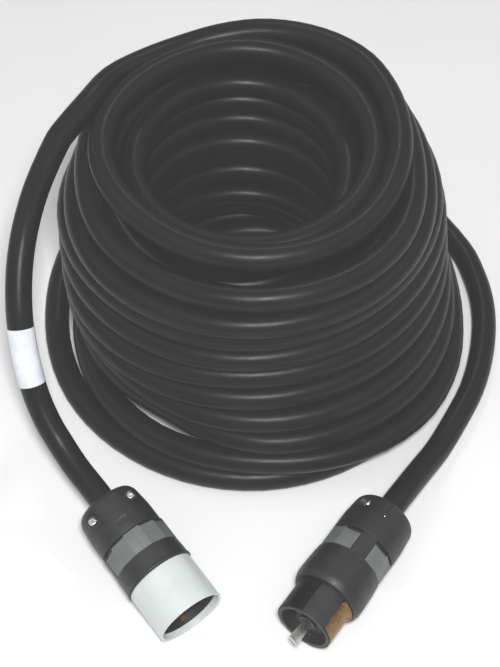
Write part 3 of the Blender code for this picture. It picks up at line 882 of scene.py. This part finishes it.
def plug_front(matrix):
    def wavy(radius, z, angle):
        if radius < 32 or not 74 < z < 107:
            return radius
        lobes = 0.22 * cos(6 * angle) * sin((z - 74) / 33 * pi)
        rings = 0.14 * sin((z - 80) / 2.1 * 2 * pi) if 80 < z < 105 else 0
        return min(34.85, radius + lobes * 0.6 + rings * 0.5)

    outline = [
        (28.3, 46.3), (30, 46.3, 0.3), (30, 69.6, 0.3), (32.8, 69.8, 1.2), (33.8, 80, 1), (34.0, 84, 1),
        (34.6, 98, 2), (34.3, 104, 2), (32.4, 109, 1.2), (31.5, 110, 0.5), (28.3, 110),
    ]
    front_body("plug", matrix, outline, wavy)
    rim = PLUG_RIM
    nose_outline = [
        (0, 92), (28, 92), (28, rim - 0.2, 1.0), (26.9, rim, 0.8), (23.5, rim, 0.6), (23.5, rim - 9, 0.6),
        (8.5, rim - 9, 0.6), (8.5, rim - 5, 0.6), (0, rim - 5),
    ]
    nose = turned("plug_black_nose", nose_outline, 144, longest=6)
    for tag, offset in zip("xyw", CONTACT_ANGLES):
        angle = PLUG_PHASE + offset
        room = [(26.6, 110.2), (29, 110.2), (29, rim + 1), (26.6, rim + 1)]
        boolean(
            nose, "DIFFERENCE",
            turned("recess", room, 40, arc=(angle - 34, angle + 34)),
            block("stem_slot", (23, -4.4, 70), (25.8, 4.4, 115), angle),
            block("stem_opening", (25, -4.1, 111.3), (27.5, 4.1, 114.6), angle),
        )
        plate = [
            (26.9, 110.6), (30.3, 110.6, 0.3), (30.6, 111.6, 0.5), (30.4, 112.6, 0.5), (28.2, 113.4, 1.0),
            (27.9, 116, 1.5), (27.9, rim - 1.8, 0.5), (27.4, rim - 1.6, 0.3), (26.9, rim - 1.6),
        ]
        contact = turned("contact", plate, 48, arc=(angle - 33, angle + 33), longest=3)
        boolean(
            contact, "UNION",
            block("bridge", (23.6, -3.6, 112), (27.3, 3.6, 114), angle, 0.2),
            block("stem", (23.4, -3.9, 70), (25.4, 3.9, 113), angle, 0.2),
            block("tail", (20, -4.2, 69), (25.6, 4.2, 72), angle, 0.2),
            block("terminal", (16, -5, 60), (24, 5, 70), angle, 0.4),
        )
        hole = rod("terminal_hole", (17, 0, 65), (30, 0, 65), 2)
        hole.data.transform(Matrix.Rotation(radians(angle), 4, "Z"))
        boolean(contact, "DIFFERENCE", hole)
        soften(contact, 0.18)
        contact.name = "plug_brass_plate_" + tag
        # The contact on the nose's left side takes the near-black brass: painted shade, not a different
        # metal.
        look = LOOKS["brass_in_painted_shade" if tag == "y" else "brass"]
        settle(contact, matrix, look, "brass_contact", "root", "plug_contact_" + tag)
    angle = PLUG_PHASE + GROUND_ANGLE
    boolean(nose, "DIFFERENCE", block("blade_pocket", (-5.9, -1.7, 70), (5.9, 1.7, 160), angle))
    for offset in ASSEMBLY_ANGLES:
        around = radians(PLUG_PHASE + offset)
        x, y = 17 * cos(around), 17 * sin(around)
        boolean(nose, "DIFFERENCE", rod("through", (x, y, 26.6), (x, y, 151), 2))
    soften(nose, 0.25)
    settle(nose, matrix, LOOKS["insulator"], "insulator", "root", "plug_nose")
    blade = block("plug_steel_blade", (-5.5, -1.3, 69), (5.5, 1.3, 162), angle, 0.5)
    boolean(blade, "UNION", block("strap", (-3, -1, 68.5), (22, 3, 72), angle, 0.3))
    boolean(blade, "UNION", block("terminal", (16, -5, 60), (24, 5, 70), angle, 0.4))
    hole = rod("terminal_hole", (17, 0, 65), (30, 0, 65), 2)
    hole.data.transform(Matrix.Rotation(radians(angle), 4, "Z"))
    boolean(blade, "DIFFERENCE", hole)
    soften(blade, 0.15)
    settle(blade, matrix, LOOKS["zinc"], "zinc_plate", "root", "plug_ground_blade")


def carried_over():
    """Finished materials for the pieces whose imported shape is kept."""
    for name, obj in frame["nodes"].items():
        if "conductor" in name:
            look = {"x": "wire_black", "y": "wire_red", "w": "wire_white", "g": "wire_green"}[name[-1]]
        elif "jacket_end" in name:
            look = "jacket"
        elif "plug_assembly_screw" in name:
            # The assembly screws deep in the nose's mouth take the near-black brass too: painted shade of
            # the recess.
            look = "brass_in_painted_shade"
        elif "screw" in name:
            look = "zinc"
        elif "contact" in name or "ground" in name:
            look = "brass"
        elif "carrier" in name:
            look = "insulator"
        else:
            continue
        LOOKS[look].give(obj)


camera()
LOOKS = looks()
label = label_sleeve()
cable()
studio()
for prefix, matrix in (("conn", CONNECTOR), ("plug", PLUG)):
    cord_grip(prefix, matrix)
    for tag, facing in (("a", 90), ("b", -90)):
        grip_pad(prefix, matrix, tag, facing)
connector_front(CONNECTOR)
plug_front(PLUG)
carried_over()
